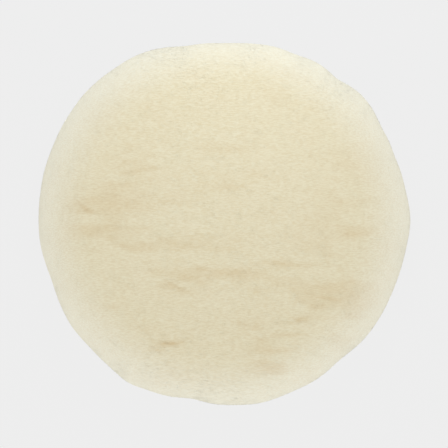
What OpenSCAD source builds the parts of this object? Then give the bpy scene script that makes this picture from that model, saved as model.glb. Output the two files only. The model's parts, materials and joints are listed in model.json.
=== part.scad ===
// Lambswool polishing pad with a foam interface and a hook-and-loop back.
// The pad lies on its loop face: z = 0 is the tips of the loops, and +Z points out of the pile.
// The hide is drawn over the foam and hemmed under it, so that pile covers the pad's edge too.

/* [Loop backing] */
// Diameter of the loop disc, a little over the machine's backing plate
backing_d = 152; // [110:1:210]
// Height of the loops that the plate's hooks catch
loop_nap_h = 1.6; // [1.4:0.1:3]
// Thickness of the woven cloth that holds the loops
loop_base_t = 0.8; // [0.5:0.1:1.5]
// Diameter of the centring hole, blind against the hide
centre_hole_d = 20; // [10:0.5:30]

/* [Foam interface] */
// Thickness of the foam between hide and backing
foam_t = 8; // [5:0.5:20]
// How far the face overhangs the back on each side
bevel_run = 5; // [2:0.5:12]
// Gap between the foam and the hide around it
foam_fit = 0.2; // [0.1:0.05:0.5]
// Thickness of each bonding film
film_t = 0.3; // [0.1:0.05:0.6]

/* [Lambskin] */
// Thickness of the hide
hide_t = 2; // [1.2:0.1:3]
// Thickness of the hem, which is skived thinner than the hide
hem_t = 1.4; // [0.8:0.1:2]
// Hide left between the straight seam and the hem's cut edge
hem_edge = 2; // [1.5:0.1:5]
// Radius of the hide's outer corners; the loop disc ends where the hide starts to turn
turn_r = 2; // [1.5:0.1:4]

/* [Pile] */
// Pile height over the hide, at the edge of the level face
pile_h = 15.5; // [8:0.5:30]
// How much further the pile stands in the middle
crown_h = 1.5; // [0:0.1:4]
// How far the pile stands out past the hide at the rim
pile_overhang = 7; // [4:0.5:20]
// Width of the shoulder over which the face rounds into the rim
shoulder_w = 26; // [15:1:45]
// Clear height between the rim's pile and the loop cloth
pile_clear = 0.4; // [0.2:0.1:1]

/* [Stitching] */
// Diameter of the sewing thread
thread_d = 0.7; // [0.4:0.05:0.9]
// Distance from one needle hole to the next
stitch_pitch = 4; // [3:0.1:6]
// How far a stitch bows out of the material between its needle holes
stitch_bow = 0.8; // [0.4:0.05:0.9]
// Distance of the zigzag from the loop disc's edge
zigzag_inset = 1; // [0.5:0.1:3]
// Width of the zigzag between its needle holes
zigzag_w = 3.4; // [2:0.1:5]
// Distance of the straight seam from the zigzag's inner needle holes
seam_spacing = 3.2; // [3:0.1:6]
// Clear width on each side of a seam, in the nap and in the foam
seam_gap = 0.6; // [0.3:0.05:0.8]
// Clear distance between two stitches that share a needle hole
hole_gap = 0.15; // [0.1:0.05:0.4]

/* [Hidden] */

// Levels, from the loop tips up
base_z = loop_nap_h;
hem_z = base_z + loop_base_t;
hem_top_z = hem_z + hem_t;
foam_z = hem_z + film_t;
foam_top_z = foam_z + foam_t;
hide_z = foam_top_z + film_t;
hide_top_z = hide_z + hide_t;
shoulder_z = hide_top_z + pile_h;
pile_top_z = shoulder_z + crown_h;

// The rim is widest level with the foam's middle, and its pile stops short of the loop cloth
belly_z = foam_z + foam_t / 2;
pile_low_z = hem_z + pile_clear;

// Radii of the outlines
hole_r = centre_hole_d / 2;
backing_r = backing_d / 2;
back_r = backing_r + turn_r;
face_r = back_r + bevel_run;
pile_r = face_r + pile_overhang;
shoulder_r = pile_r - shoulder_w;

// Radii of the seams, from the loop disc's edge in
thread_r = thread_d / 2;
zigzag_out_r = backing_r - zigzag_inset - thread_r;
zigzag_in_r = zigzag_out_r - zigzag_w;
seam_r = zigzag_in_r - seam_spacing;
hem_in_r = seam_r - hem_edge;

// A stitch starts half way down in the cloth or the hem, and rises by stitch_rise over its length
needle_end_z = base_z + loop_base_t / 2;
bobbin_end_z = hem_top_z - loop_base_t / 2;
stitch_rise = stitch_bow + loop_base_t / 2;

// Points of an elliptical arc in the profile plane, from one angle to another
function arc(cx, cz, rx, rz, from, to, steps) =
    [for (i = [0:steps]) let (a = from + (to - from) * i / steps) [cx + rx * cos(a), cz + rz * sin(a)]];

// Radius of the hide's inner side at a height: it leans out from the hem to the face
function lining_r(z) = back_r - hide_t + bevel_run * (z - hem_top_z) / (hide_z - hem_top_z);
function foam_r(z) = lining_r(z) - foam_fit;

// Disc of thickness h with a round hole
module disc(z, h, r, hole)
    translate([0, 0, z])
        difference() {
            cylinder(h = h, r = r, $fn = 96);
            translate([0, 0, -1]) cylinder(h = h + 2, r = hole, $fn = 96);
        }

// Profile of the hide's outside: level face, rounded corner, bevelled side and turn into the hem
module hide_outside() {
    side_a = atan2(hide_top_z - hem_z, bevel_run) - 90;
    polygon(concat(
        [[0, hem_z], [0, hide_top_z]],
        arc(face_r - turn_r, hide_top_z - turn_r, turn_r, turn_r, 90, side_a, 8),
        arc(back_r - turn_r, hem_z + turn_r, turn_r, turn_r, side_a, -90, 8)
    ));
}

// Profile of the hide's inside
module hide_inside()
    polygon([[-1, hem_top_z], [lining_r(hem_top_z), hem_top_z], [lining_r(hide_z), hide_z], [-1, hide_z]]);

// Profile of the pile's outside: crowned face, elliptical shoulder and a shorter turn underneath
module pile_outside() {
    dome_steps = 10;
    dome = [
        for (i = [0:dome_steps - 1])
            let (r = shoulder_r * i / dome_steps) [r, shoulder_z + crown_h * cos(90 * i / dome_steps)]
    ];
    polygon(concat(
        [[0, pile_low_z]],
        dome,
        arc(shoulder_r, belly_z, shoulder_w, shoulder_z - belly_z, 90, 0, 16),
        arc(back_r, belly_z, pile_r - back_r, belly_z - pile_low_z, 0, -90, 8)
    ));
}

// Half of the profile plane, above or below a level
module above(z) translate([0, z]) square([2 * pile_r, 2 * pile_top_z]);
module below(z) translate([0, z - 2 * pile_top_z]) square([2 * pile_r, 2 * pile_top_z]);

// Pile of the working face, standing on the hide
module face_pile()
    color("cornsilk")
        rotate_extrude($fn = 96) intersection() {
            pile_outside();
            above(hide_top_z);
        }

// Pile of the turned edge, all round the side
module rim_pile()
    color("oldlace")
        rotate_extrude($fn = 96) intersection() {
            difference() {
                pile_outside();
                hide_outside();
            }
            below(hide_top_z);
        }

// Hide, drawn over the foam and hemmed under it
module lambskin_hide()
    color("wheat")
        rotate_extrude($fn = 96) difference() {
            hide_outside();
            hide_inside();
            translate([-1, hem_z - 1]) square([hem_in_r + 1, hem_t + 2]);
        }

// Films that bond the foam to the hide, and to the loop cloth inside the hem
module face_bond_film() color("khaki") disc(foam_top_z, film_t, foam_r(foam_top_z), hole_r);
module back_bond_film() color("khaki") disc(hem_z, film_t, hem_in_r - foam_fit, hole_r);

// Foam, bevelled out to the face, recessed over the hem and deeper over the inner threads
module foam_interface() {
    recess_z = hem_top_z + foam_fit / 2;
    recess_r = hem_in_r - foam_fit;
    seam_half_w = thread_r + seam_gap / 2;
    color("darkseagreen")
        rotate_extrude($fn = 96) difference() {
            polygon([
                [hole_r, foam_z], [recess_r, foam_z], [recess_r, recess_z], [foam_r(recess_z), recess_z],
                [foam_r(foam_top_z), foam_top_z], [hole_r, foam_top_z]
            ]);
            translate([seam_r - seam_half_w, 0])
                square([2 * seam_half_w, hem_top_z + thread_d + foam_fit]);
            translate([zigzag_in_r - seam_half_w, 0])
                square([backing_r, bobbin_end_z + stitch_rise + thread_r + foam_fit]);
        }
}

// Woven ground of the loop fabric
module loop_base_cloth() color("gainsboro") disc(base_z, loop_base_t, backing_r, hole_r);

// Loops, left out along the seams, which press them flat
module loop_nap()
    color("whitesmoke") {
        disc(0, loop_nap_h, seam_r - thread_r - seam_gap, hole_r);
        disc(0, loop_nap_h, zigzag_in_r - thread_r - seam_gap, seam_r + thread_r + seam_gap);
    }

// One stitch over a span along +X, shorter by end_gap at each end: a bow of thread that hangs below z = 0
module stitch(span, end_gap) {
    length = span - 2 * end_gap;
    bow_r = (length * length / 4 + stitch_rise * stitch_rise) / (2 * stitch_rise);
    half_a = asin(length / 2 / bow_r);
    translate([span / 2, 0, bow_r - stitch_rise])
        rotate([90, 0, 0])
            rotate([0, 0, -90 - half_a])
                rotate_extrude(angle = 2 * half_a, $fn = 96)
                    translate([bow_r, 0]) circle(r = thread_r, $fn = 24);
}

// Ring of stitches between needle holes that lie on two radii in turn; the sharper its corners, the
// further its stitches end from the holes, so that they don't run into each other
module stitch_ring(count, r_even, r_odd) {
    step = 360 / count;
    half_corner = atan2((r_even + r_odd) * sin(step / 2), abs(r_even - r_odd));
    end_gap = (thread_d + hole_gap) / 2 / sin(half_corner);
    for (i = [0:count - 1]) {
        from_r = i % 2 == 0 ? r_even : r_odd;
        to_r = i % 2 == 0 ? r_odd : r_even;
        run = [to_r * cos(step) - from_r, to_r * sin(step)];
        rotate([0, 0, i * step])
            translate([from_r, 0, 0])
                rotate([0, 0, atan2(run[1], run[0])]) stitch(norm(run), end_gap);
    }
}

// Stitches of the zigzag, an even number of them
module zigzag()
    stitch_ring(2 * round(PI * (zigzag_in_r + zigzag_out_r) / 2 / stitch_pitch), zigzag_in_r, zigzag_out_r);

// Straight seam through loop cloth and hem: needle thread outside, bobbin thread pulled straight inside
module seam_needle_thread()
    color("ivory")
        translate([0, 0, needle_end_z]) stitch_ring(round(2 * PI * seam_r / stitch_pitch), seam_r, seam_r);

module seam_bobbin_thread()
    color("ivory")
        rotate_extrude($fn = 96) translate([seam_r, hem_top_z + thread_r]) circle(r = thread_r, $fn = 24);

// Zigzag that holds down the loop cloth's edge, outside and inside
module edge_needle_thread() color("ivory") translate([0, 0, needle_end_z]) zigzag();
module edge_bobbin_thread() color("ivory") translate([0, 0, bobbin_end_z]) mirror([0, 0, 1]) zigzag();

face_pile();
rim_pile();
lambskin_hide();
face_bond_film();
foam_interface();
back_bond_film();
loop_base_cloth();
loop_nap();
seam_needle_thread();
seam_bobbin_thread();
edge_needle_thread();
edge_bobbin_thread();
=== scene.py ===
"""Looks of the lambswool polishing pad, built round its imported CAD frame.

The pad lies on its loop face. Lengths are in millimetres in the frame's own axes, and are turned
into metres when a mesh is made. Materials, lights and camera are in metres.
"""

import json
import math

import bpy
import numpy as np
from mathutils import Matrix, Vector


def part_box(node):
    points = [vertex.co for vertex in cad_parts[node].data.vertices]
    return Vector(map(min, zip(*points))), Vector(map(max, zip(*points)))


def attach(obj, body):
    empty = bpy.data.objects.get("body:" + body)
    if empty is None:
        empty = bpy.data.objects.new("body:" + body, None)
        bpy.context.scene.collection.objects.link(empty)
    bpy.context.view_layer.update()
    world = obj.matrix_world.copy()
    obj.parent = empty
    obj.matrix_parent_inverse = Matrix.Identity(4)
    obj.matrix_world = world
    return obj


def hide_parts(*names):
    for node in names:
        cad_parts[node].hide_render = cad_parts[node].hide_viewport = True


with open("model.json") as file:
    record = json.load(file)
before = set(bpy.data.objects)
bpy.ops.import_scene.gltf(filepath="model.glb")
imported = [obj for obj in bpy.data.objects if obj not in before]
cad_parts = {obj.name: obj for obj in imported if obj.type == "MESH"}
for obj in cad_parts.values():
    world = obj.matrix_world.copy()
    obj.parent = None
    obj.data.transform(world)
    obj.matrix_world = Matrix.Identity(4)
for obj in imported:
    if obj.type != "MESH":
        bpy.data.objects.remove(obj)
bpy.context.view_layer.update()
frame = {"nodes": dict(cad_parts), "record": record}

MM = 0.001
TAU = 2 * math.pi
GOLDEN_ANGLE = math.pi * (3 - math.sqrt(5))


# ---------- sizes from the frame

def node_box(node):
    """Outer radius, lowest and highest level of a round CAD node, in millimetres."""
    low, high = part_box(node)
    return (high.x - low.x) / 2 / MM, low.z / MM, high.z / MM


PILE_R, PILE_LOW_Z, HIDE_TOP_Z = node_box("rim_pile")
_, _, PILE_TOP_Z = node_box("face_pile")
FACE_R, HEM_Z, _ = node_box("lambskin_hide")
BACKING_R, CLOTH_Z, CLOTH_TOP_Z = node_box("loop_base_cloth")
_, FOAM_Z, FOAM_TOP_Z = node_box("foam_interface")
FILM_R, _, HIDE_Z = node_box("face_bond_film")
NAP_R, _, NAP_TOP_Z = node_box("loop_nap")
BOBBIN_R, HEM_TOP_Z, BOBBIN_TOP_Z = node_box("seam_bobbin_thread")
HEM_FILM_R, _, _ = node_box("back_bond_film")

THREAD_D = BOBBIN_TOP_Z - HEM_TOP_Z
THREAD_R = THREAD_D / 2
SEAM_R = BOBBIN_R - THREAD_R
# Clearances: loops to a seam's thread, one layer to the next, and cloth's edge to the zigzag
SEAM_GAP = 0.6
FIT = 0.2
ZIGZAG_INSET = 1.0
ZIGZAG_IN_R = NAP_R + SEAM_GAP + THREAD_R
ZIGZAG_OUT_R = BACKING_R - ZIGZAG_INSET - THREAD_R
HEM_IN_R = HEM_FILM_R + FIT
MOUNTS = {mount["name"]: mount for mount in frame["record"]["mounts"]}
HOLE_R = MOUNTS["centring_bore"]["dims"]["r_mm"]
HIDE_T = HIDE_TOP_Z - HIDE_Z
TURN_R = HIDE_T
BACK_R = BACKING_R + TURN_R

# The pile's face has a slight crown, and falls off in an elliptical shoulder down to the belly
CROWN_H = 1.5
SHOULDER_W = 26.0
SHOULDER_R = PILE_R - SHOULDER_W
SHOULDER_Z = PILE_TOP_Z - CROWN_H
BELLY_Z = (FOAM_Z + FOAM_TOP_Z) / 2


# ---------- numbers and noise

NOISE_VALUES = 4096
NOISE_ORIGIN = 1000.0
CORNER_KEYS = np.array([73856093, 19349663, 83492791])


def smooth(x):
    """Eases a share that goes from 0 to 1 in and out."""
    return x * x * (3 - 2 * x)


def noise(points, cell, seed):
    """Smooth noise from -1 to 1 at each point, with one random value per cell corner."""
    table = np.random.default_rng(seed).uniform(-1, 1, NOISE_VALUES)
    at = points / cell + NOISE_ORIGIN
    low = np.floor(at).astype(np.int64)
    part = smooth(at - low)
    total = np.zeros(len(points))
    for corner in range(8):
        step = np.array([corner & 1, corner >> 1 & 1, corner >> 2 & 1])
        key = ((low + step) @ CORNER_KEYS) % NOISE_VALUES
        weight = np.prod(np.where(step, part, 1 - part), axis=1)
        total += weight * table[key]
    return total


def layered_noise(points, layers):
    """The sum of several noises, each given by its height, cell size and seed."""
    return sum(height * noise(points, cell, seed) for height, cell, seed in layers)


def unit(v):
    """The same vectors with length 1."""
    return v / np.maximum(np.linalg.norm(v, axis=-1, keepdims=True), 1e-9)


# ---------- profiles

def arc(cx, cz, rx, rz, start, end, steps):
    """Points of an elliptical arc in the profile plane, with its angles in degrees."""
    a = np.radians(np.linspace(start, end, steps + 1))
    return np.stack([cx + rx * np.cos(a), cz + rz * np.sin(a)], 1)


def evenly(profile, count):
    """The same profile as count points at even distances."""
    length = np.r_[0, np.cumsum(np.linalg.norm(np.diff(profile, axis=0), axis=1))]
    at = np.linspace(0, length[-1], count)
    return np.stack([np.interp(at, length, profile[:, i]) for i in (0, 1)], 1)


DOME_STEPS = 40
SHOULDER_STEPS = 60
UNDER_STEPS = 40
TURN_STEPS = 12


def pile_profile():
    """The pile's outside from the middle of the face to the end of the rim underneath."""
    r = np.linspace(0, SHOULDER_R, DOME_STEPS, endpoint=False)
    dome = np.stack([r, SHOULDER_Z + CROWN_H * np.cos(r / SHOULDER_R * math.pi / 2)], 1)
    shoulder = arc(SHOULDER_R, BELLY_Z, SHOULDER_W, SHOULDER_Z - BELLY_Z, 90, 0, SHOULDER_STEPS)
    under = arc(BACK_R, BELLY_Z, PILE_R - BACK_R, BELLY_Z - PILE_LOW_Z, 0, -90, UNDER_STEPS)
    return np.concatenate([dome, shoulder, under[1:]])


def hide_profile():
    """The hide's outside from the middle of its face to where it meets the loop cloth."""
    lean = math.degrees(math.atan2(HIDE_TOP_Z - HEM_Z, FACE_R - BACK_R)) - 90
    top = arc(FACE_R - TURN_R, HIDE_TOP_Z - TURN_R, TURN_R, TURN_R, 90, lean, TURN_STEPS)
    turn = arc(BACK_R - TURN_R, HEM_Z + TURN_R, TURN_R, TURN_R, lean, -90, TURN_STEPS)
    return np.concatenate([[[0, HIDE_TOP_Z]], top, turn])


class Pile:
    """The field of wool fibres between hide and clipped surface.

    A fibre grows from a point along the hide's outside to the matching point of the clipped
    outside: straight up on most of the face, fanning out round the shoulder and the rim.
    """

    STEPS = 600
    # Fibres stand upright inside the first radius, and at the second they grow from the hide's corner
    UPRIGHT_R = 50.0
    FAN_R = 87.0

    def __init__(self):
        self.outer = evenly(pile_profile(), self.STEPS)
        hide = evenly(hide_profile(), self.STEPS)
        length = np.r_[0, np.cumsum(np.linalg.norm(np.diff(self.outer, axis=0), axis=1))]
        self.length = length[-1]
        self.share = length / self.length
        hide_share = np.linspace(0, 1, self.STEPS)
        corner_r = FACE_R - TURN_R
        on_outer = [0, *(self.reached(self.outer, r) for r in (self.UPRIGHT_R, self.FAN_R)), 1]
        on_hide = [0, *(self.reached(hide, r) for r in (self.UPRIGHT_R, corner_r)), 1]
        matched = np.interp(self.share, on_outer, on_hide)
        root = np.stack([np.interp(matched, hide_share, hide[:, i]) for i in (0, 1)], 1)
        self.along = unit(self.outer - root)
        self.reach = np.linalg.norm(self.outer - root, axis=1)
        slope = np.gradient(self.outer, axis=0)
        self.facing = unit(np.stack([-slope[:, 1], slope[:, 0]], 1))
        self.curve = -np.gradient(np.unwrap(np.arctan2(slope[:, 1], slope[:, 0])), length)
        # area of the outside from its middle to each point, as a share and in all
        ring = np.diff(length, prepend=0) * self.outer[:, 0]
        self.area = np.cumsum(ring) / ring.sum()
        self.area_mm2 = TAU * ring.sum()

    def reached(self, profile, radius):
        """The share of a profile's length at which it first gets to a radius."""
        return np.argmax(profile[:, 0] >= radius) / (self.STEPS - 1)

    def read(self, table, share):
        """Both columns of a table, such as the outside or its facing, at shares of the length."""
        return np.stack([np.interp(share, self.share, table[:, i]) for i in (0, 1)], 1)

    def spread(self, count, rng, jitter):
        """Shares along the profile and angles of evenly spread points on the pile's outside."""
        i = np.arange(count) + 0.5
        share = np.interp(i / count, self.area, self.share)
        angle = i * GOLDEN_ANGLE
        gap = math.sqrt(self.area_mm2 / count) * jitter
        # no less than 1 mm, or the angle would jump about near the axis
        radius = np.maximum(np.interp(share, self.share, self.outer[:, 0]), 1)
        share = np.clip(share + rng.normal(0, gap, count) / self.length, 0, 1)
        return share, angle + rng.normal(0, gap, count) / radius


PILE = Pile()

# Dents and bulges of the hand-clipped outline: direction in degrees, height in mm and half the
# width in degrees
OUTLINE = [
    (90, -3.4, 17), (66, -0.9, 6), (102, -0.8, 6), (118, 0.8, 9), (137, 1.5, 14), (160, 0.4, 8),
    (200, -1.5, 9), (222, -0.4, 6), (240, 1.3, 5), (260, -1.7, 6), (281, 0.9, 7), (310, -1.1, 6),
    (336, -0.2, 5), (0, 1.4, 9), (20, -0.4, 5), (40, 1.4, 6), (51, -1.2, 4),
]
# They fade out towards the middle: where they begin and the way to full height, as shares of the radius
UNEVEN_FROM = 0.55
UNEVEN_SPAN = 0.4


def outline_offset(angle):
    """How far the clipped outline stands out of its circle in each direction."""
    total = np.zeros_like(angle)
    for direction, height, half_width in OUTLINE:
        off = (angle - math.radians(direction) + math.pi) % TAU - math.pi
        total += height * np.exp(-((off / math.radians(half_width)) ** 2))
    return total


# Partings in the wool: x and y of the middle, length, heading in degrees and strength
PARTINGS = [
    (-25, -59, 13, 14, 1.0), (-31, -62, 7, 6, 0.6), (-64, 4, 9, -24, 0.6), (30, -22, 26, 6, 0.45),
    (50, -38, 20, 4, 0.55), (36, -48, 6, 20, 0.7), (-11, -24, 6, 5, 0.5), (-21, -33, 12, -10, 0.5),
    (4, 14, 15, 14, 0.35), (-45, -14, 13, -6, 0.3), (-38, 22, 12, 10, 0.25), (24, 2, 10, -12, 0.25),
    (-52, -42, 10, 16, 0.3), (10, -50, 12, -8, 0.35), (60, -8, 10, 10, 0.3), (16, -34, 9, 12, 0.3),
]
PARTING_HALF_WIDTH = 1.2
PARTING_DEPTH = 0.4
# How tan a parting is, partly the warmer wool inside it and partly painted shade in its crease
PARTING_TAN_SHADE = 0.6
# A parting wavers: the height of its wave as a share of its length, and its run in radians
WAVER = 0.06
WAVER_RUN = 4


def parting(points):
    """How open the wool is at each point of the face, and the way to the nearer lip."""
    opening = np.zeros(len(points))
    away = np.zeros((len(points), 3))
    for x, y, length, heading, strength in PARTINGS:
        a = math.radians(heading)
        rel = points[:, :2] - (x, y)
        along = rel @ (math.cos(a), math.sin(a))
        wave = WAVER * length * np.sin(along * WAVER_RUN / length)
        across = rel @ (-math.sin(a), math.cos(a)) + wave
        fall = np.exp(-((along / (0.5 * length)) ** 2) - (across / PARTING_HALF_WIDTH) ** 2)
        opening += strength * fall
        side = np.sign(across) * np.minimum(np.abs(across), 1) * fall * strength
        away[:, 0] += -math.sin(a) * side
        away[:, 1] += math.cos(a) * side
    return opening, away


# How tan a streak is, partly warmer wool and partly painted shade
STREAK_TAN_SHADE = 0.5
STREAK_STRETCH = 0.30
# Height, cell size and seed of the streaks' waves, and the levels where a streak starts and is full
STREAK_WAVES = ((0.65, 6.5, 62), (0.35, 2.6, 63))
STREAK_START = -0.22
STREAK_FULL = 0.53
# Streaks come in patches, and are strongest on the front half: how fast they fade, and what is left
STREAK_PATCHES = ((0.7, 30.0, 61),)
PATCH_LEVEL = 0.65
MIDDLE_LEVEL = 0.6
FADE_LENGTH = 130
BACK_LEVEL = 0.25


def streaks(points):
    """How tan the wool is in the faint streaks that run across the face, partly painted shade."""
    front = np.clip(MIDDLE_LEVEL - points[:, 1] / FADE_LENGTH, BACK_LEVEL, 1)
    patches = np.clip(PATCH_LEVEL + layered_noise(points, STREAK_PATCHES), 0, 1)
    wave = layered_noise(points * (STREAK_STRETCH, 1.0, 1.0), STREAK_WAVES)
    filled = (wave - STREAK_START) / (STREAK_FULL - STREAK_START)
    return front * patches * smooth(np.clip(filled, 0, 1))


def tan_and_shade(points, opening):
    """How tan the wool is in its partings and its streaks, partly painted shade."""
    return np.clip(PARTING_TAN_SHADE * opening + STREAK_TAN_SHADE * streaks(points), 0, 1)


def on_pile(share, angle):
    """Places on the pile's outside, with the fibres' way, the surface's normal and the wool's depth."""
    outer = PILE.read(PILE.outer, share)
    along = PILE.read(PILE.along, share)
    reach = np.interp(share, PILE.share, PILE.reach)
    from_middle = (outer[:, 0] - UNEVEN_FROM * PILE_R) / (UNEVEN_SPAN * PILE_R)
    stretch = smooth(np.clip(from_middle, 0, 1))
    radius = outer[:, 0] + outline_offset(angle) * stretch
    cos, sin = np.cos(angle), np.sin(angle)
    place = np.stack([radius * cos, radius * sin, outer[:, 1]], 1)
    way = np.stack([along[:, 0] * cos, along[:, 0] * sin, along[:, 1]], 1)
    facing = PILE.read(PILE.facing, share)
    facing = np.stack([facing[:, 0] * cos, facing[:, 0] * sin, facing[:, 1]], 1)
    return place, unit(way), unit(facing), reach


# ---------- meshes

def new_piece(name, verts, faces, material, normals=None):
    """A mesh object that rides on the pad, from vertices in mm, with these normals if any are given."""
    mesh = bpy.data.meshes.new(name)
    mesh.vertices.add(len(verts))
    mesh.vertices.foreach_set("co", (np.asarray(verts, np.float32) * MM).ravel())
    counts = np.concatenate([np.full(len(f), f.shape[1]) for f in faces])
    corners = np.concatenate([f.ravel() for f in faces]).astype(np.int32)
    mesh.loops.add(len(corners))
    mesh.loops.foreach_set("vertex_index", corners)
    mesh.polygons.add(len(counts))
    starts = np.r_[0, np.cumsum(counts)[:-1]].astype(np.int32)
    mesh.polygons.foreach_set("loop_start", starts)
    mesh.polygons.foreach_set("use_smooth", np.full(len(counts), True))
    mesh.update(calc_edges=True)
    if normals is not None:
        mesh.normals_split_custom_set_from_vertices(normals)
    mesh.materials.append(material)
    piece = bpy.data.objects.new(name, mesh)
    bpy.context.scene.collection.objects.link(piece)
    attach(piece, "root")
    return piece


FEWEST_ROUND = 12


def revolved(profile, spacing, closed=False):
    """Vertices, triangles and each vertex's ring, of a surface of revolution.

    Every profile point becomes a ring with as many points as its radius and spacing need; a profile
    point on the axis is one vertex.
    """
    spacing = np.broadcast_to(spacing, len(profile))
    rings, verts, ring_of, start = [], [], [], 0
    for i, (r, z) in enumerate(profile):
        count = 1 if r < 1e-6 else max(FEWEST_ROUND, int(round(TAU * r / spacing[i])))
        offset = 0.5 * (i % 2)
        angle = (np.arange(count) + offset) / count * TAU
        verts.append(np.stack([r * np.cos(angle), r * np.sin(angle), np.full(count, z)], 1))
        ring_of.append(np.full(count, i))
        rings.append((start, count, offset))
        start += count
    pairs = list(zip(rings, rings[1:]))
    if closed:
        pairs.append((rings[-1], rings[0]))
    faces = [between_rings(a, b) for a, b in pairs]
    return np.concatenate(verts), np.concatenate(faces), np.concatenate(ring_of)


def divided(corners, steps):
    """A profile through these corners, with its sides cut into steps of about these lengths."""
    points = [np.array(corners[:1], float)]
    for a, b, step in zip(corners, corners[1:], steps):
        count = max(1, int(round(math.dist(a, b) / step)))
        share = np.arange(1, count + 1)[:, None] / count
        points.append(np.array(a) + share * (np.array(b) - np.array(a)))
    return np.concatenate(points)


def between_rings(a, b):
    """Triangles that join two rings of different counts."""
    (a0, na, fa), (b0, nb, fb) = a, b
    if na == 1:
        i = np.arange(nb)
        return np.stack([np.full(nb, a0), b0 + i, b0 + (i + 1) % nb], 1)
    if nb == 1:
        i = np.arange(na)
        return np.stack([a0 + i, np.full(na, b0), a0 + (i + 1) % na], 1)
    # walk round both rings in order of the middle of each edge
    mid_a = (np.arange(na) + 0.5 + fa) / na
    mid_b = (np.arange(nb) + 0.5 + fb) / nb
    order = np.argsort(np.r_[mid_a, mid_b], kind="stable")
    from_a = order < na
    step_a, step_b = np.cumsum(from_a), np.cumsum(~from_a)
    i, j = step_a - from_a, step_b - ~from_a
    tri_a = np.stack([a0 + i % na, b0 + j % nb, a0 + (i + 1) % na], 1)
    tri_b = np.stack([a0 + i % na, b0 + j % nb, b0 + (j + 1) % nb], 1)
    return np.where(from_a[:, None], tri_a, tri_b)


def set_attribute(piece, name, values):
    """A number for each vertex, which a material reads by name."""
    attribute = piece.data.attributes.new(name, "FLOAT", "POINT")
    attribute.data.foreach_set("value", values.astype(np.float32))


# ---------- materials

class Nodes:
    """A material's node tree, built node by node, in metres."""

    def __init__(self, name):
        self.material = bpy.data.materials.new(name)
        self.material.use_nodes = True
        self.tree = self.material.node_tree
        self.shader = self.tree.nodes["Principled BSDF"]

    def add(self, kind, inputs=(), **settings):
        """A new node with these settings and these values or links at its inputs."""
        node = self.tree.nodes.new(kind)
        for key, value in settings.items():
            setattr(node, key, value)
        for key, value in dict(inputs).items():
            self.put(node.inputs[key], value)
        return node

    def put(self, socket, value):
        """Links another node's output to a socket, or sets the socket's own value."""
        if isinstance(value, bpy.types.NodeSocket):
            self.tree.links.new(value, socket)
        else:
            socket.default_value = value

    def set(self, **inputs):
        """Inputs of the shader, with an underscore for each blank in their names."""
        for key, value in inputs.items():
            self.put(self.shader.inputs[key.replace("_", " ")], value)

    def place(self):
        """The place on the object, in metres."""
        return self.add("ShaderNodeTexCoord").outputs["Object"]

    def noise(self, scale, detail=2.0, vector=None):
        """Smooth noise from 0 to 1 with this many cells to the metre."""
        node = self.add("ShaderNodeTexNoise", {"Scale": scale, "Detail": detail})
        self.put(node.inputs["Vector"], vector or self.place())
        return node.outputs["Fac"]

    def cells(self, scale):
        """The distance from the middle of the nearest of many small cells."""
        node = self.add("ShaderNodeTexVoronoi", {"Scale": scale, "Vector": self.place()})
        return node.outputs["Distance"]

    def maths(self, operation, a, b=0.0, c=0.0, clamp=False):
        node = self.add("ShaderNodeMath", operation=operation, use_clamp=clamp)
        for socket, value in zip(node.inputs, (a, b, c)):
            self.put(socket, value)
        return node.outputs[0]

    def attribute(self, name):
        return self.add("ShaderNodeAttribute", attribute_name=name).outputs["Fac"]

    def mix(self, share, a, b, blend="MIX"):
        """Two colours mixed; a Mix node's colour inputs are its sockets 6 and 7, its output is 2."""
        node = self.add("ShaderNodeMix", data_type="RGBA", blend_type=blend)
        self.put(node.inputs["Factor"], share)
        for socket, value in zip((node.inputs[6], node.inputs[7]), (a, b)):
            self.put(socket, value)
        return node.outputs[2]

    def ramp(self, value, *stops):
        """A colour ramp through stops, each given by its position and colour."""
        node = self.add("ShaderNodeValToRGB", {"Fac": value})
        ramp = node.color_ramp
        while len(ramp.elements) < len(stops):
            ramp.elements.new(0.5)
        for element, (at, colour) in zip(ramp.elements, stops):
            element.position = at
            element.color = colour
        return node.outputs["Color"]

    def bump(self, height, strength, distance):
        """Fine relief in the shading."""
        node = self.add("ShaderNodeBump", {"Height": height, "Strength": strength, "Distance": distance})
        self.put(self.shader.inputs["Normal"], node.outputs["Normal"])


BLACK = (0.0, 0.0, 0.0, 1.0)
WHITE = (1.0, 1.0, 1.0, 1.0)

def rgb(r, g, b):
    """A colour from sRGB numbers out of 255."""
    return tuple(((v / 255 + 0.055) / 1.055) ** 2.4 for v in (r, g, b)) + (1.0,)


WOOL_DEEP = rgb(224, 212, 178)
WOOL_PALE = rgb(236, 229, 202)
WOOL_WARM = rgb(229, 214, 178)
WOOL_GREEN = rgb(230, 226, 194)
# The warm tan of partings and streaks, partly painted shade
WOOL_TAN_SHADE = rgb(214, 190, 144)
# Painted light: the near-white that the rim is whitened towards
WOOL_RIM_LIGHT = rgb(242, 241, 226)
# What the dark of the grain leaves of the wool's red, green and blue
GRAIN_SHADE = (0.92, 0.875, 0.81, 1.0)


def wool_colour(n):
    """Colour of the wool: paler at the tips, tan with painted shade in partings and streaks, whitened at
    the rim by painted light.
    """
    patches = n.noise(70, 3)
    colour = n.mix(n.attribute("along"), WOOL_DEEP, WOOL_PALE)
    colour = n.mix(n.maths("MULTIPLY", n.attribute("tone"), 0.2), colour, WOOL_WARM)
    colour = n.mix(n.maths("MULTIPLY", patches, 0.3), colour, WOOL_GREEN)
    # tan in partings and streaks, partly painted shade
    colour = n.mix(n.attribute("open"), colour, WOOL_TAN_SHADE)
    # painted light: the rim whitened, standing in for light through its thin wool
    return n.mix(n.attribute("rim"), colour, WOOL_RIM_LIGHT)


def wool_fibre_material():
    """Cream wool fibres: deeper at the root, paler at the tip, with a tone for each fibre."""
    n = Nodes("wool_fibre")
    n.set(Base_Color=wool_colour(n), Roughness=0.85)
    n.set(Specular_IOR_Level=0.15, Sheen_Weight=0.2, Sheen_Roughness=0.5)
    return n.material


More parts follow.
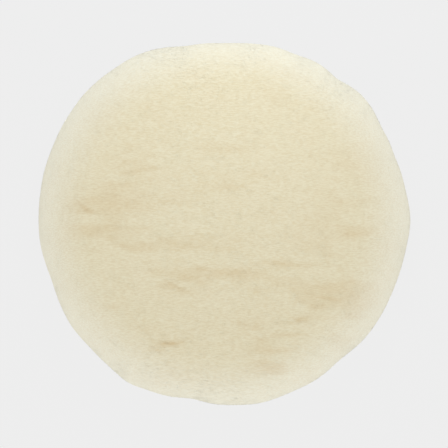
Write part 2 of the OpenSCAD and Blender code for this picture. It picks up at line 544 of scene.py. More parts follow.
def fleece_material():
    """The dense wool under the fibres' ends, with a fine grain that runs across the face."""
    n = Nodes("fleece")
    stretched = n.add("ShaderNodeMapping", {"Vector": n.place(), "Scale": (0.25, 1.0, 1.0)})
    grain = n.noise(2100, 3, stretched.outputs["Vector"])
    streak = n.ramp(grain, (0.35, BLACK), (0.65, WHITE))
    # the grain fades where painted light whitens the rim
    weaker_at_rim = n.maths("MULTIPLY_ADD", n.attribute("rim"), -0.2, 1.0)
    shade = n.maths("MULTIPLY", streak, weaker_at_rim)
    colour = n.mix(shade, wool_colour(n), GRAIN_SHADE, blend="MULTIPLY")
    n.set(Base_Color=colour, Roughness=n.maths("MULTIPLY_ADD", grain, 0.1, 0.82))
    n.set(Specular_IOR_Level=0.15, Sheen_Weight=0.2, Sheen_Roughness=0.5)
    n.bump(grain, 0.1, 0.0002)
    return n.material


def suede_material():
    """Tanned sheepskin: pale tan suede with pores, a short nap and uneven tone."""
    n = Nodes("suede")
    nap = n.noise(2600, 5)
    blotch = n.noise(60, 4)
    pores = n.cells(900)
    colour = n.mix(blotch, rgb(203, 178, 138), rgb(228, 208, 172))
    colour = n.mix(n.maths("MULTIPLY", nap, 0.35), colour, rgb(176, 150, 112))
    n.set(Base_Color=colour, Roughness=n.maths("MULTIPLY_ADD", nap, 0.15, 0.78))
    n.set(Specular_IOR_Level=0.25, Sheen_Weight=0.2, Sheen_Roughness=0.4)
    n.bump(n.maths("MULTIPLY_ADD", pores, 0.4, nap), 0.5, 0.0004)
    return n.material


def foam_material():
    """Open-cell foam: many small round cells, with painted shade in their hollows."""
    n = Nodes("foam")
    small = n.cells(1400)
    large = n.cells(600)
    stain = n.noise(80, 3)
    # painted shade: dark in the middle of each cell, paler towards its edges
    hollow_shade, wall, skin = rgb(150, 140, 108), rgb(224, 214, 182), rgb(240, 232, 204)
    colour = n.ramp(small, (0.0, hollow_shade), (0.35, wall), (1.0, skin))
    colour = n.mix(n.maths("MULTIPLY", stain, 0.3), colour, rgb(214, 198, 154))
    n.set(Base_Color=colour, Roughness=n.maths("MULTIPLY_ADD", small, 0.1, 0.85), Specular_IOR_Level=0.2)
    n.bump(n.maths("ADD", small, large), 0.8, 0.0005)
    return n.material


def film_material():
    """Hot-melt film: cream and a little glossy, with a fine orange peel."""
    n = Nodes("bond_film")
    peel = n.noise(900, 2)
    n.set(Base_Color=n.mix(peel, rgb(226, 216, 184), rgb(238, 232, 208)))
    n.set(Roughness=n.maths("MULTIPLY_ADD", peel, 0.2, 0.35))
    n.bump(peel, 0.3, 0.0002)
    return n.material


WEAVE_PITCH = 0.00055


def cloth_material():
    """Plain weave: warp and weft cross at right angles, over and under."""
    n = Nodes("loop_cloth")
    parts = n.add("ShaderNodeSeparateXYZ", {"Vector": n.place()})
    turn = TAU / WEAVE_PITCH
    warp = n.maths("SINE", n.maths("MULTIPLY", parts.outputs["X"], turn))
    weft = n.maths("SINE", n.maths("MULTIPLY", parts.outputs["Y"], turn))
    over = n.maths("MULTIPLY", warp, weft)
    fuzz = n.noise(2400, 3)
    ridge = n.maths("MAXIMUM", n.maths("ABSOLUTE", warp), n.maths("ABSOLUTE", weft))
    height = n.maths("ADD", ridge, over)
    # painted shade: the weave is darker where it lies low and lighter where it is raised
    lit_where_raised = n.maths("MULTIPLY_ADD", height, 0.3, 0.3, clamp=True)
    colour = n.mix(lit_where_raised, rgb(186, 184, 174), rgb(232, 231, 224))
    colour = n.mix(n.maths("MULTIPLY", fuzz, 0.25), colour, rgb(206, 203, 192))
    n.set(Base_Color=colour, Roughness=n.maths("MULTIPLY_ADD", fuzz, 0.2, 0.65))
    n.set(Specular_IOR_Level=0.35, Sheen_Weight=0.15)
    n.bump(height, 0.6, 0.0002)
    return n.material


def loop_material():
    """Brushed nylon filament: nearly white, a little glossy, with painted shade that greys it deeper in
    the nap, each loop with a tone of its own.
    """
    n = Nodes("loop_filament")
    along, tone = n.attribute("along"), n.attribute("tone")
    # painted shade: greyer by the mat, whiter towards the loops' tips
    colour = n.mix(along, rgb(196, 194, 184), rgb(244, 244, 239))
    colour = n.mix(n.maths("MULTIPLY", tone, 0.4), colour, rgb(222, 219, 206))
    n.set(Base_Color=colour, Roughness=n.maths("MULTIPLY_ADD", n.noise(3000, 2), 0.15, 0.42))
    n.set(Specular_IOR_Level=0.45, Sheen_Weight=0.2)
    return n.material


def thread_material():
    """Waxed polyester: smooth thread with fine fibres and a little wear."""
    n = Nodes("thread")
    fibre = n.noise(5200, 3)
    wear = n.noise(240, 2)
    colour = n.mix(fibre, rgb(216, 209, 186), rgb(246, 243, 229))
    colour = n.mix(n.maths("MULTIPLY", wear, 0.3), colour, rgb(214, 203, 172))
    n.set(Base_Color=colour, Roughness=n.maths("MULTIPLY_ADD", fibre, 0.2, 0.42))
    n.set(Specular_IOR_Level=0.45, Sheen_Weight=0.1)
    n.bump(fibre, 0.4, 0.00008)
    return n.material


# ---------- wool

FIBRE_PIECES = 10
FIBRES_PER_PIECE = 9000
FIBRE_RINGS = 4
FIBRE_D = 0.15
# No fibre comes nearer to the floor than this
FLOOR_GAP = 1.9
# How far a fibre strays from its place in the even spread, as a share of the gap between fibres
STRAY = 0.22
# How deep the visible part of a fibre starts, and the part of the wool's depth that it may use
ROOT_DEPTH = (1.4, 2.6)
ROOT_SHARE = 0.8
ROOT_EXTRA = 0.3
# How far a fibre runs along the surface: shape and scale of the spread, least and most, and the part
# of it that is left at the pad's side
RUN_GAMMA = (6.0, 0.6)
RUN_RANGE = (1.5, 6.0)
SIDE_RUN = 0.5
# The larger this is, the later a fibre rises and the longer it lies along the surface
LIE_OVER = 2.5
# Height and number of waves of a fibre's crimp
CRIMP = (0.03, 0.14)
CRIMP_WAVES = (0.8, 1.7)
# How unevenly the shears leave the fibres' ends
CLIP_SPREAD = 0.035
CLIP_LIMIT = 0.08
# How far a parting pushes the fibres' ends aside
PARTING_PUSH = 0.5
# Height, cell size and seed of the soft lumps of the clipped surface
LUMPS = ((0.22, 11.0, 11), (0.04, 3.4, 12))
# How much combed fibres drift together, in cells of this size, and how much each goes its own way
DRIFT = 0.22
DRIFT_CELL = 7.0
OWN_WAY = 0.20
# Circles near the middle of the face count as this wide
LEAST_RADIUS = 5
# Wool lets light through, so a fibre is shaded much like the pile round it and only partly as a tube
ROUNDNESS = 0.22
# and light from above also gets into the sides of the pile
SKYWARD = 0.8


def wool_normals(facing):
    """The way that the pile faces as a whole, turned towards the light from above at its sides."""
    return unit(facing + np.array((0.0, 0.0, SKYWARD)) * (1 - np.abs(facing[:, 2:])))


def swell(points):
    """Height of the soft lumps of the clipped surface."""
    return layered_noise(points, LUMPS)


def combed(points, facing, rng):
    """The way in which fibres lie over at the surface: to and fro across the face, more or less."""
    count = len(points)
    side = rng.choice([-1.0, 1.0], count)[:, None] * (1.0, 0.0, 0.0)
    drift = DRIFT * np.stack([noise(points, DRIFT_CELL, seed) for seed in (21, 22, 23)], 1)
    heading = side + drift + OWN_WAY * rng.normal(0, 1, (count, 3))
    return unit(heading - (heading * facing).sum(1, keepdims=True) * facing)


def surface_curve(share, angle, place, facing, heading):
    """How much the pile's outside curves along a heading, from its profile and from its circle."""
    round_pad = (heading[:, 1] * np.cos(angle) - heading[:, 0] * np.sin(angle)) ** 2
    radius = np.maximum(np.hypot(place[:, 0], place[:, 1]), LEAST_RADIUS)
    on_profile = np.interp(share, PILE.share, PILE.curve)
    on_circle = np.hypot(facing[:, 0], facing[:, 1]) / radius
    return on_profile * (1 - round_pad) + on_circle * round_pad


def fibre_paths(share, angle, rng):
    """Rings' centres, root to tip, of clipped fibres that stand up and bend over at the surface."""
    count = len(share)
    end, way, facing, reach = on_pile(share, angle)
    opening, away = parting(end)
    upward = np.clip(facing[:, 2], 0, 1)[:, None]
    depth = np.minimum(rng.uniform(*ROOT_DEPTH, count), ROOT_SHARE * reach + ROOT_EXTRA)[:, None]
    run = np.clip(rng.gamma(*RUN_GAMMA, count), *RUN_RANGE)[:, None]
    run = run * (SIDE_RUN + (1 - SIDE_RUN) * upward)
    heading = combed(end, facing, rng)
    across = np.cross(facing, heading)
    # a fibre follows the clipped surface, which falls away from its tangent with half the curve
    bend = 0.5 * surface_curve(share, angle, end, facing, heading)[:, None]
    crimp = rng.uniform(*CRIMP, (count, 1))
    waves = rng.uniform(*CRIMP_WAVES, (count, 1))
    phase = rng.uniform(0, TAU, (count, 1))
    uneven = np.clip(rng.normal(0, CLIP_SPREAD, count), -CLIP_LIMIT, CLIP_LIMIT)
    clip = swell(end) + uneven - PARTING_DEPTH * opening
    end = end + way * clip[:, None]
    rings = []
    for s in np.linspace(0, 1, FIBRE_RINGS + 1):
        curl = crimp * np.sin(waves * TAU * s + phase) * across
        aside = run * (s - 0.5)
        below = way * depth * (1 - s) ** LIE_OVER
        path = end - below - facing * bend * aside**2 + heading * aside + curl
        rings.append(path + away * (PARTING_PUSH * s))
    rings = np.stack(rings, 1)
    rings[..., 2] = np.maximum(rings[..., 2], FLOOR_GAP)
    return rings, facing, opening


def tube_mesh(paths, radii, sides=3):
    """Closed tapered tubes round paths of equal point counts: the last point is each tube's tip."""
    count, points, _ = paths.shape
    rings = points - 1
    ahead = unit(np.gradient(paths, axis=1))
    ref = np.where(np.abs(ahead[:, :1, 2:3]) < 0.8, [0.0, 0.0, 1.0], [1.0, 0.0, 0.0])
    u = unit(np.cross(ahead, np.broadcast_to(ref, ahead.shape)))
    v = np.cross(ahead, u)
    turn = np.arange(sides) / sides * TAU
    ring = u[:, :rings, None] * np.cos(turn)[:, None] + v[:, :rings, None] * np.sin(turn)[:, None]
    ring = paths[:, :rings, None] + ring * radii[:, :rings, None, None]
    outward = unit(ring - paths[:, :rings, None]).reshape(count, -1, 3)
    outward = np.concatenate([outward, ahead[:, -1:]], 1)
    verts = np.concatenate([ring.reshape(count, -1, 3), paths[:, -1:]], 1)
    per = rings * sides + 1
    first = (np.arange(count) * per)[:, None, None]
    k, j = np.meshgrid(np.arange(rings - 1), np.arange(sides), indexing="ij")
    a, b = k * sides + j, k * sides + (j + 1) % sides
    quads = np.stack([a, b, b + sides, a + sides], -1).reshape(1, -1, 4) + first
    last = (rings - 1) * sides
    j = np.arange(sides)
    tips = np.stack([last + j, last + (j + 1) % sides, np.full(sides, per - 1)], 1)[None] + first
    caps = np.arange(sides)[::-1][None, None] + first
    along = np.r_[np.repeat(np.linspace(0, 1, rings, endpoint=False), sides), 1.0]
    faces = [quads.reshape(-1, 4), tips.reshape(-1, 3), caps.reshape(-1, sides)]
    return verts.reshape(-1, 3), faces, outward, along


# Painted light whitens the rim, standing in for light through its thin wool: how much at most, where
# that begins and the way to the most, as shares of the radius
RIM_PAINTED_LIGHT = 0.8
RIM_FROM = 0.68
RIM_SPAN = 0.33
# Height, cell size and seed of the patches of deeper and paler wool
TONE_PATCHES = ((0.3, 5.0, 31),)


def painted_rim_light(points):
    """How much painted light whitens the rim, standing in for light through its thin, outermost wool."""
    radius = np.hypot(points[:, 0], points[:, 1]) / PILE_R
    return RIM_PAINTED_LIGHT * smooth(np.clip((radius - RIM_FROM) / RIM_SPAN, 0, 1))


def make_fibres(material, rng):
    """The wool's visible fibres, in pieces that are each spread over the whole pad."""
    count = FIBRES_PER_PIECE
    taper = np.linspace(1.0, 0.6, FIBRE_RINGS + 1)
    for part in range(FIBRE_PIECES):
        share, angle = PILE.spread(count, rng, STRAY)
        # each piece is turned, so that no two spreads fall together
        angle = angle + part
        share = np.clip(share, 0, 0.99)
        paths, facing, opening = fibre_paths(share, angle, rng)
        radii = taper * rng.uniform(0.75, 1.25, (count, 1)) * FIBRE_D / 2
        verts, faces, outward, along = tube_mesh(paths, radii)
        normals = unit(outward * ROUNDNESS + wool_normals(facing)[:, None]).reshape(-1, 3)
        piece = new_piece(f"wool_fibres_{part + 1}", verts, faces, material, normals)
        per = len(along)
        ends = paths[:, -1]
        tone = rng.uniform(0, 1, count) + layered_noise(ends, TONE_PATCHES)
        set_attribute(piece, "along", np.tile(along, count))
        set_attribute(piece, "tone", np.repeat(np.clip(tone, 0, 1), per))
        # tan of partings and streaks, partly painted shade
        set_attribute(piece, "open", np.repeat(tan_and_shade(ends, opening), per))
        # painted light at the rim
        set_attribute(piece, "rim", np.repeat(painted_rim_light(ends), per))
        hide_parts("face_pile", "rim_pile")


FLEECE_SPACING = 0.72
LINING_POINTS = 60
LINING_GAP = 0.05
FLEECE_DEPTH = 0.038
# The wool is looser on the pad's side than on its worn face
SIDE_DEPTH = 0.08
TUFT_HEIGHT = 0.08
TUFT_STRETCH = 0.5
TUFT_CELL = 1.3
# The lining of the fleece is shaded as if it all faced this point under the pad
LINING_FACES = (0.0, 0.0, -40.0)


def fleece_profile():
    """The fleece's closed profile, and how many of its points are on the clipped outside."""
    outer = evenly(pile_profile(), int(PILE.length / FLEECE_SPACING))
    inner = evenly(hide_profile(), LINING_POINTS)
    inner = inner[inner[:, 1] > PILE_LOW_Z + LINING_GAP] + LINING_GAP
    inner[0, 0] = 0.0
    return np.concatenate([outer[:-1], inner[::-1]]), len(outer)


def make_fleece(material):
    """The body of the wool: a closed skin of small tufts just under the fibres' ends, on the hide."""
    profile, count = fleece_profile()
    verts, faces, rings = revolved(profile, FLEECE_SPACING)
    outside = rings < count - 1
    share = rings[outside] / (count - 1)
    angle = np.arctan2(verts[outside, 1], verts[outside, 0])
    place, way, facing, reach = on_pile(share, angle)
    tuft = 0.5 + 0.5 * noise(place * (TUFT_STRETCH, 1.0, 1.0), TUFT_CELL, 42)
    opening, _ = parting(place)
    loose = SIDE_DEPTH * (1 - np.clip(facing[:, 2], 0, 1)) ** 2
    depth = FLEECE_DEPTH + loose - TUFT_HEIGHT * tuft + PARTING_DEPTH * opening - swell(place)
    depth = np.minimum(depth, 0.75 * reach)
    verts[outside] = place - way * depth[:, None]
    normals = np.empty_like(verts)
    normals[outside] = wool_normals(facing)
    normals[~outside] = unit(np.array(LINING_FACES) - verts[~outside])
    piece = new_piece("fleece", verts, [faces], material, normals)
    for name, values in (
        ("along", 0.75 + 0.2 * tuft),
        ("tone", 0.5 + layered_noise(place, TONE_PATCHES)),
        # tan of partings and streaks, partly painted shade
        ("open", tan_and_shade(place, opening)),
        # painted light at the rim
        ("rim", painted_rim_light(place)),
    ):
        shade = np.zeros(len(verts))
        shade[outside] = np.clip(values, 0, 1)
        set_attribute(piece, name, shade)
    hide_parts("face_pile", "rim_pile")


# ---------- hide, foam, cloth and loops

STITCH_PITCH = 4.0
SEAM_STITCHES = round(TAU * SEAM_R / STITCH_PITCH)
# Vertices this near to a level or a radius count as lying on it
ON_LEVEL = 0.01

HIDE_POINTS = 80
HIDE_SPACING = 1.0
# Height, cell size and seed of the skin's creases
CREASES = ((0.10, 3.0, 71), (0.05, 0.9, 72))
PUCKER = 0.14


def lining_r(z):
    """Radius of the hide's inner side at a height."""
    return BACK_R - HIDE_T + (FACE_R - BACK_R) * (z - HEM_TOP_Z) / (HIDE_Z - HEM_TOP_Z)


def sink(verts, chosen, level, depth):
    """Moves the chosen vertices towards a level inside the piece, so that it stays clear of others."""
    verts[chosen, 2] += np.sign(level - verts[chosen, 2]) * depth[chosen]


def make_hide(material):
    """The skin: drawn over the foam and hemmed under it, with creases and a puckered hem."""
    outside = evenly(hide_profile(), HIDE_POINTS)
    inner = [
        (BACK_R - TURN_R, HEM_Z), (HEM_IN_R, HEM_Z), (HEM_IN_R, HEM_TOP_Z),
        (lining_r(HEM_TOP_Z), HEM_TOP_Z), (lining_r(HIDE_Z), HIDE_Z), (0, HIDE_Z),
    ]
    inside = divided(inner, (0.7, 0.5, 0.9, 0.8, 1.6))
    profile = np.concatenate([outside, inside[1:]])
    profile[0, 0] = 0.0
    verts, faces, _ = revolved(profile, HIDE_SPACING)
    radius = np.hypot(verts[:, 0], verts[:, 1])
    angle = np.arctan2(verts[:, 1], verts[:, 0])
    crease = sum(height * (1 + noise(verts, cell, seed)) for height, cell, seed in CREASES)
    pucker = PUCKER * (1 + np.sin(angle * SEAM_STITCHES))
    face = verts[:, 2] > HIDE_Z - ON_LEVEL
    hem = (verts[:, 2] < HEM_TOP_Z + ON_LEVEL) & (radius < BACK_R - TURN_R + ON_LEVEL)
    sink(verts, face, (HIDE_Z + HIDE_TOP_Z) / 2, crease)
    sink(verts, hem, (HEM_Z + HEM_TOP_Z) / 2, 0.5 * crease + pucker)
    piece = new_piece("hide_skin", verts, [faces], material)
    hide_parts("lambskin_hide")


# Height of the foam's step over the stitches, above what they need
STEP_CLEARANCE = 0.9
WALL_SPACING = 0.25
PORE_DEPTH = 0.55
PORE_FILL = 1.8
# What counts as the wall of the bore, which has the fine spacing and the pores
WALL_WIDTH = 0.1
RIM_HEIGHT = 0.05


def make_foam(material):
    """The foam: its open cells show in the wall of the centring bore."""
    clear_z = BOBBIN_TOP_Z + FIT + STEP_CLEARANCE
    corners = [
        (HOLE_R, FOAM_Z), (HEM_FILM_R, FOAM_Z), (HEM_FILM_R, clear_z),
        (lining_r(clear_z) - FIT, clear_z), (FILM_R, FOAM_TOP_Z), (HOLE_R, FOAM_TOP_Z),
        (HOLE_R, FOAM_Z),
    ]
    profile = divided(corners, (2.5, 1.2, 2.0, 1.2, 2.5, 0.22))[:-1]
    coarser = np.maximum(0.3, (profile[:, 0] - HOLE_R) / 20)
    spacing = np.where(profile[:, 0] < HOLE_R + WALL_WIDTH, WALL_SPACING, coarser)
    verts, faces, _ = revolved(profile, spacing, closed=True)
    radius, z = np.hypot(verts[:, 0], verts[:, 1]), verts[:, 2]
    wall = (radius < HOLE_R + WALL_WIDTH) & (z > FOAM_Z + RIM_HEIGHT) & (z < FOAM_TOP_Z - RIM_HEIGHT)
    large = np.clip(noise(verts, 0.85, 81) + 0.1, 0, 1)
    small = np.clip(noise(verts, 0.5, 82), 0, 1)
    pores = np.clip((large + 0.5 * small) * PORE_FILL, 0, 1)
    verts[:, :2] *= (1 + wall * PORE_DEPTH * pores / radius)[:, None]
    piece = new_piece("foam_body", verts, [faces], material)
    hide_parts("foam_interface")


RIB_PITCH = 1.1
RIB_HEIGHT = 0.09
# From this radius outwards the underside is cut finely enough for its ribs
BAND_IN_R = ZIGZAG_IN_R - 4.8
BAND_SPACING = 0.36
EDGE_WIDTH = 0.05
FRAY = 0.0025


def make_cloth(material):
    """The loop fabric's ground: ribs and floats stand out in the band that the loops leave bare."""
    corners = [
        (HOLE_R, CLOTH_TOP_Z), (HOLE_R, CLOTH_Z), (BAND_IN_R, CLOTH_Z), (BACKING_R, CLOTH_Z),
        (BACKING_R, CLOTH_TOP_Z), (HOLE_R, CLOTH_TOP_Z),
    ]
    profile = divided(corners, (0.4, 4.0, 0.33, 0.27, 4.0))[:-1]
    band = (profile[:, 0] > BAND_IN_R - ON_LEVEL) & (profile[:, 1] < CLOTH_TOP_Z - ON_LEVEL)
    spacing = np.where(band, BAND_SPACING, np.maximum(0.5, profile[:, 0] / 40))
    verts, faces, _ = revolved(profile, spacing, closed=True)
    under = verts[:, 2] < CLOTH_Z + ON_LEVEL
    turn = TAU / RIB_PITCH
    weave = np.sin(verts[:, 0] * turn) * np.sin(verts[:, 1] * turn + math.pi / 4)
    verts[under, 2] += (RIB_HEIGHT * (1 + weave) / 2)[under]
    edge = np.hypot(verts[:, 0], verts[:, 1]) > BACKING_R - EDGE_WIDTH
    verts[edge, :2] *= (1 - FRAY * (1 + noise(verts[edge], 0.7, 91)))[:, None]
    piece = new_piece("loop_ground", verts, [faces], material)
    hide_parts("loop_base_cloth")


LOOP_PIECES = 3
LOOP_ROW = 1.12
LOOP_STEP = 1.06
LOOP_R = 0.075
LOOP_POINTS = 7
# How far a loop's foot keeps from the edges of its zone, and how deep it stands in the mat
LOOP_MARGIN = 0.55
LOOP_ROOT = 0.2
MAT_LOW_Z = 1.05
MAT_SPACING = 0.75
MAT_BUMPS = 0.16
# How far the feet stray from their rows, across and along
ASKEW = (0.14, 0.12)
# Spread of the loops' headings in radians, their half widths, their tips' heights and their lean
LOOP_TURN = 0.45
LOOP_WIDTH = (0.35, 0.55)
LOOP_TIP_Z = (LOOP_R + 0.03, 0.40)
LOOP_LEAN = 0.16
# An arch bulges at its shoulders by this share of its width, and is this much flatter than a sine
BULGE = 0.35
FLATTER = 0.8


def nap_zones():
    """Radii between which there are loops: the disc inside the seam, and the ring outside it."""
    return [(HOLE_R, SEAM_R - THREAD_R - SEAM_GAP), (SEAM_R + THREAD_R + SEAM_GAP, NAP_R)]


def make_nap_mat(material):
    """The matted feet of the loops, a thin uneven layer on the ground cloth."""
    all_verts, all_faces, start = [], [], 0
    for inner, outer in nap_zones():
        corners = [
            (inner, NAP_TOP_Z), (inner, MAT_LOW_Z), (outer, MAT_LOW_Z), (outer, NAP_TOP_Z),
            (inner, NAP_TOP_Z),
        ]
        profile = divided(corners, (0.4, 0.6, 0.4, 3.0))[:-1]
        verts, faces, _ = revolved(profile, MAT_SPACING, closed=True)
        under = verts[:, 2] < MAT_LOW_Z + ON_LEVEL
        verts[under, 2] += (MAT_BUMPS * (1 + noise(verts, 0.9, 95)))[under]
        all_verts.append(verts)
        all_faces.append(faces + start)
        start += len(verts)
    piece = new_piece("loop_mat", np.concatenate(all_verts), all_faces, material)
    # the mat gets the loops' painted shade of the deep nap
    set_attribute(piece, "along", np.full(start, 0.15))
    set_attribute(piece, "tone", np.full(start, 0.6))
    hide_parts("loop_nap")


def loop_feet(rng):
    """Places of the loops: rows set off by half a step, brushed a little out of line."""
    rows = int(2 * NAP_R / LOOP_ROW) + 1
    steps = int(2 * NAP_R / LOOP_STEP) + 1
    row, step = np.meshgrid(np.arange(rows), np.arange(steps), indexing="ij")
    x = (step + 0.5 * (row % 2)).ravel() * LOOP_STEP - NAP_R
    y = row.ravel() * LOOP_ROW - NAP_R
    x = x + rng.normal(0, ASKEW[0], len(x))
    y = y + rng.normal(0, ASKEW[1], len(y))
    radius = np.hypot(x, y)
    keep = np.zeros(len(x), bool)
    for inner, outer in nap_zones():
        margin = min(LOOP_MARGIN, (outer - inner) / 3)
        keep |= (radius > inner + margin) & (radius < outer - margin)
    return np.stack([x[keep], y[keep]], 1)


def loop_paths(feet, rng):
    """Arches that stand on the mat, each with its own heading, width, height and lean."""
    count = len(feet)
    heading = rng.normal(0, LOOP_TURN, count)
    width = rng.uniform(*LOOP_WIDTH, count)
    tip_z = rng.uniform(*LOOP_TIP_Z, count)
    lean = rng.normal(0, LOOP_LEAN, (count, 2))
    root_z = NAP_TOP_Z - LOOP_ROOT
    points = []
    for t in np.linspace(0, math.pi, LOOP_POINTS):
        reach = -math.cos(t) * width * (1 + BULGE * math.sin(t))
        rise = math.sin(t) ** FLATTER if 0 < t < math.pi else 0.0
        x = feet[:, 0] + reach * np.cos(heading) + lean[:, 0] * rise
        y = feet[:, 1] + reach * np.sin(heading) + lean[:, 1] * rise
        points.append(np.stack([x, y, root_z - (root_z - tip_z) * rise], 1))
    return np.stack(points, 1)


def make_nap(material, rng):
    """The mat and its small arched loops."""
    make_nap_mat(material)
    feet = loop_feet(rng)
    for part in range(LOOP_PIECES):
        paths = loop_paths(feet[part::LOOP_PIECES], rng)
        count = len(paths)
        radii = np.full((count, LOOP_POINTS), LOOP_R) * rng.uniform(0.85, 1.0, (count, 1))
        verts, faces, _, _ = tube_mesh(paths, radii)
        piece = new_piece(f"loops_{part + 1}", verts, faces, material)
        per = len(verts) // count
        # painted shade: the loops grey towards the mat
        set_attribute(piece, "along", np.clip((NAP_TOP_Z - verts[:, 2]) / NAP_TOP_Z, 0, 1))
        set_attribute(piece, "tone", np.repeat(rng.uniform(0, 1, count), per))
        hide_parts("loop_nap")


# ---------- threads

STITCH_BOW = 0.8
STITCH_POINTS = 15
HOLE_GAP = 0.15
# The plies lie half the thread's radius off its middle, and make a turn in each lay
PLIES = 3
PLY_R = THREAD_R * 0.5
PLY_LAY = 1.7
PLY_SIDES = 5


def stitch_ends(count, r_even, r_odd):
    """Both ends of every stitch of a ring, which runs between needle holes on two radii in turn."""
    step = TAU / count
    corner = math.atan2((r_even + r_odd) * math.sin(step / 2), abs(r_even - r_odd))
    end_gap = (THREAD_D + HOLE_GAP) / 2 / math.sin(corner)
    i = np.arange(count)
    radius = np.where(i % 2 == 0, r_even, r_odd)
    start = np.stack([radius * np.cos(i * step), radius * np.sin(i * step)], 1)
    end = np.roll(start, -1, axis=0)
    way = unit(end - start)
    return start + way * end_gap, end - way * end_gap


def make_needle_thread(name, node, count, r_even, r_odd, material):
    """A ring of stitches in thread of three twisted plies."""
    start, end = stitch_ends(count, r_even, r_odd)
    level = (CLOTH_Z + CLOTH_TOP_Z) / 2
    rise = STITCH_BOW + (CLOTH_TOP_Z - CLOTH_Z) / 2
    length = np.linalg.norm(end - start, axis=1).mean()
    share = np.linspace(0, 1, STITCH_POINTS)
    centre = np.zeros((count, len(share), 3))
    centre[..., :2] = start[:, None] + (end - start)[:, None] * share[:, None]
    centre[..., 2] = level - rise * (1 - (2 * share - 1) ** 2)
    way = unit(np.gradient(centre, axis=1))
    across = unit(np.cross(way, (0.0, 0.0, 1.0)))
    over = np.cross(across, way)
    plies = []
    for ply in range(PLIES):
        turn = TAU * (ply / PLIES + share * length / PLY_LAY)[None, :, None]
        plies.append(centre + PLY_R * (np.cos(turn) * across + np.sin(turn) * over))
    paths = np.concatenate(plies)
    verts, faces, _, _ = tube_mesh(paths, np.full((len(paths), len(share)), PLY_R), PLY_SIDES)
    piece = new_piece(name, verts, faces, material)
    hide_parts(node)


def make_needle_threads(material):
    """The threads that show on the loop side: the straight seam and the zigzag over the edge."""
    middle_r = (ZIGZAG_IN_R + ZIGZAG_OUT_R) / 2
    zigzag = 2 * round(math.pi * middle_r / STITCH_PITCH)
    seam_radii = (SEAM_R, SEAM_R)
    zigzag_radii = (ZIGZAG_IN_R, ZIGZAG_OUT_R)
    make_needle_thread("seam_stitches", "seam_needle_thread", SEAM_STITCHES, *seam_radii, material)
    make_needle_thread("edge_stitches", "edge_needle_thread", zigzag, *zigzag_radii, material)


def repaint(node, material):
    """Gives a CAD node that stays as it is its material."""
    piece = frame["nodes"][node]
    piece.data.materials.clear()
    piece.data.materials.append(material)


# ---------- studio

FLOOR_HALF = 6.0
FLOOR_COLOUR = (0.04, 0.04, 0.04, 1.0)
FLOOR_GLOW = 0.815
# Strength of the sky's light at the horizon and overhead
SKY_LOW = 0.97
SKY_HIGH = 0.66
CAMERA_ELEVATION = math.radians(87.5)
CAMERA_DISTANCE = 0.5172
CAMERA_AIM = Vector((0.0006, -0.0022, BELLY_Z * MM))
CAMERA_LENS_MM = 85
CAMERA_SENSOR_MM = 36
CAMERA_FAR = 50


def make_floor():
    """A wide pale floor, which glows faintly and evenly so that it stays plain."""
    n = Nodes("studio_floor")
    n.set(Base_Color=FLOOR_COLOUR, Roughness=0.9, Specular_IOR_Level=0.0)
    n.set(Emission_Color=WHITE, Emission_Strength=FLOOR_GLOW)
    mesh = bpy.data.meshes.new("studio_floor")
    sides = ((-1, -1), (1, -1), (1, 1), (-1, 1))
    mesh.from_pydata([(x * FLOOR_HALF, y * FLOOR_HALF, 0) for x, y in sides], [], [(0, 1, 2, 3)])
    mesh.materials.append(n.material)
    floor = bpy.data.objects.new("studio_floor", mesh)
    bpy.context.scene.collection.objects.link(floor)


def make_sky():
    """White light from all round, weaker overhead."""
    world = bpy.data.worlds.new("studio")
    world.use_nodes = True
    nodes, links = world.node_tree.nodes, world.node_tree.links
    sky = nodes["Background"]
    where = nodes.new("ShaderNodeTexCoord")
    parts = nodes.new("ShaderNodeSeparateXYZ")
    level = nodes.new("ShaderNodeMapRange")
    links.new(where.outputs["Generated"], parts.inputs["Vector"])
    links.new(parts.outputs["Z"], level.inputs["Value"])
    level.inputs["To Min"].default_value = SKY_LOW
    level.inputs["To Max"].default_value = SKY_HIGH
    links.new(level.outputs["Result"], sky.inputs["Strength"])
    sky.inputs["Color"].default_value = WHITE
    bpy.context.scene.world = world


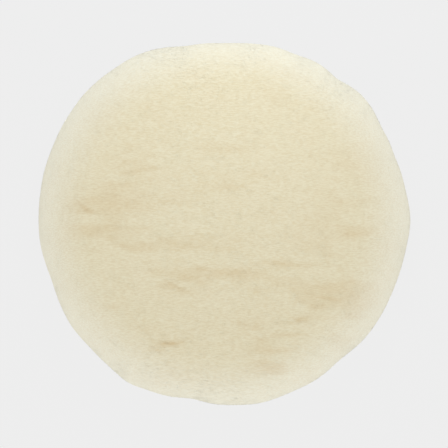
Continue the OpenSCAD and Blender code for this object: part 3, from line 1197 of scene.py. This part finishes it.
def area_light(name, place, aim, size, watts, colour=(1, 1, 1)):
    """A round soft lamp that the camera doesn't see."""
    data = bpy.data.lights.new(name, "AREA")
    data.color = colour
    data.shape = "DISK"
    data.size = size
    data.energy = watts
    lamp = bpy.data.objects.new(name, data)
    lamp.location = place
    lamp.rotation_euler = (Vector(aim) - Vector(place)).to_track_quat("-Z", "Y").to_euler()
    lamp.visible_camera = False
    bpy.context.scene.collection.objects.link(lamp)


def make_lights():
    """A small cool key over the far side, a broad fill in front, and low lamps along the rim."""
    cool = (0.94, 0.99, 1.06)
    area_light("key", (0.02, 0.17, 0.16), (0, 0.03, 0.02), size=0.12, watts=0.11, colour=cool)
    area_light("fill", (0.1, -1.1, 0.75), (0, 0, 0), size=1.5, watts=1.2)
    area_light("rim_front", (0, -0.5, 0.10), (0, -0.06, 0.01), size=0.4, watts=0.36)
    area_light("rim_left", (-0.5, -0.05, 0.10), (-0.06, 0, 0.01), size=0.4, watts=0.20)
    area_light("rim_right", (0.5, -0.05, 0.10), (0.06, 0, 0.01), size=0.4, watts=0.20)


def make_camera():
    """The camera looks down on the pad, very nearly straight."""
    data = bpy.data.cameras.new("camera")
    data.lens = CAMERA_LENS_MM
    data.sensor_width = CAMERA_SENSOR_MM
    data.clip_end = CAMERA_FAR
    camera = bpy.data.objects.new("camera", data)
    away = Vector((0, -math.cos(CAMERA_ELEVATION), math.sin(CAMERA_ELEVATION)))
    camera.location = CAMERA_AIM + CAMERA_DISTANCE * away
    camera.rotation_euler = (CAMERA_AIM - camera.location).to_track_quat("-Z", "Y").to_euler()
    bpy.context.scene.collection.objects.link(camera)
    bpy.context.scene.camera = camera
    bpy.context.scene.view_settings.view_transform = "Standard"


# ---------- build

def make_wool(rng):
    """The wool's body and the fibres on it."""
    make_fleece(fleece_material())
    make_fibres(wool_fibre_material(), rng)


def make_back(rng):
    """Everything behind the wool, from the hide to the threads."""
    thread = thread_material()
    film = film_material()
    make_hide(suede_material())
    make_foam(foam_material())
    make_cloth(cloth_material())
    make_nap(loop_material(), rng)
    make_needle_threads(thread)
    repaint("face_bond_film", film)
    repaint("back_bond_film", film)
    repaint("seam_bobbin_thread", thread)
    repaint("edge_bobbin_thread", thread)


draws = np.random.default_rng(20)
make_wool(draws)
make_back(draws)
make_floor()
make_sky()
make_lights()
make_camera()
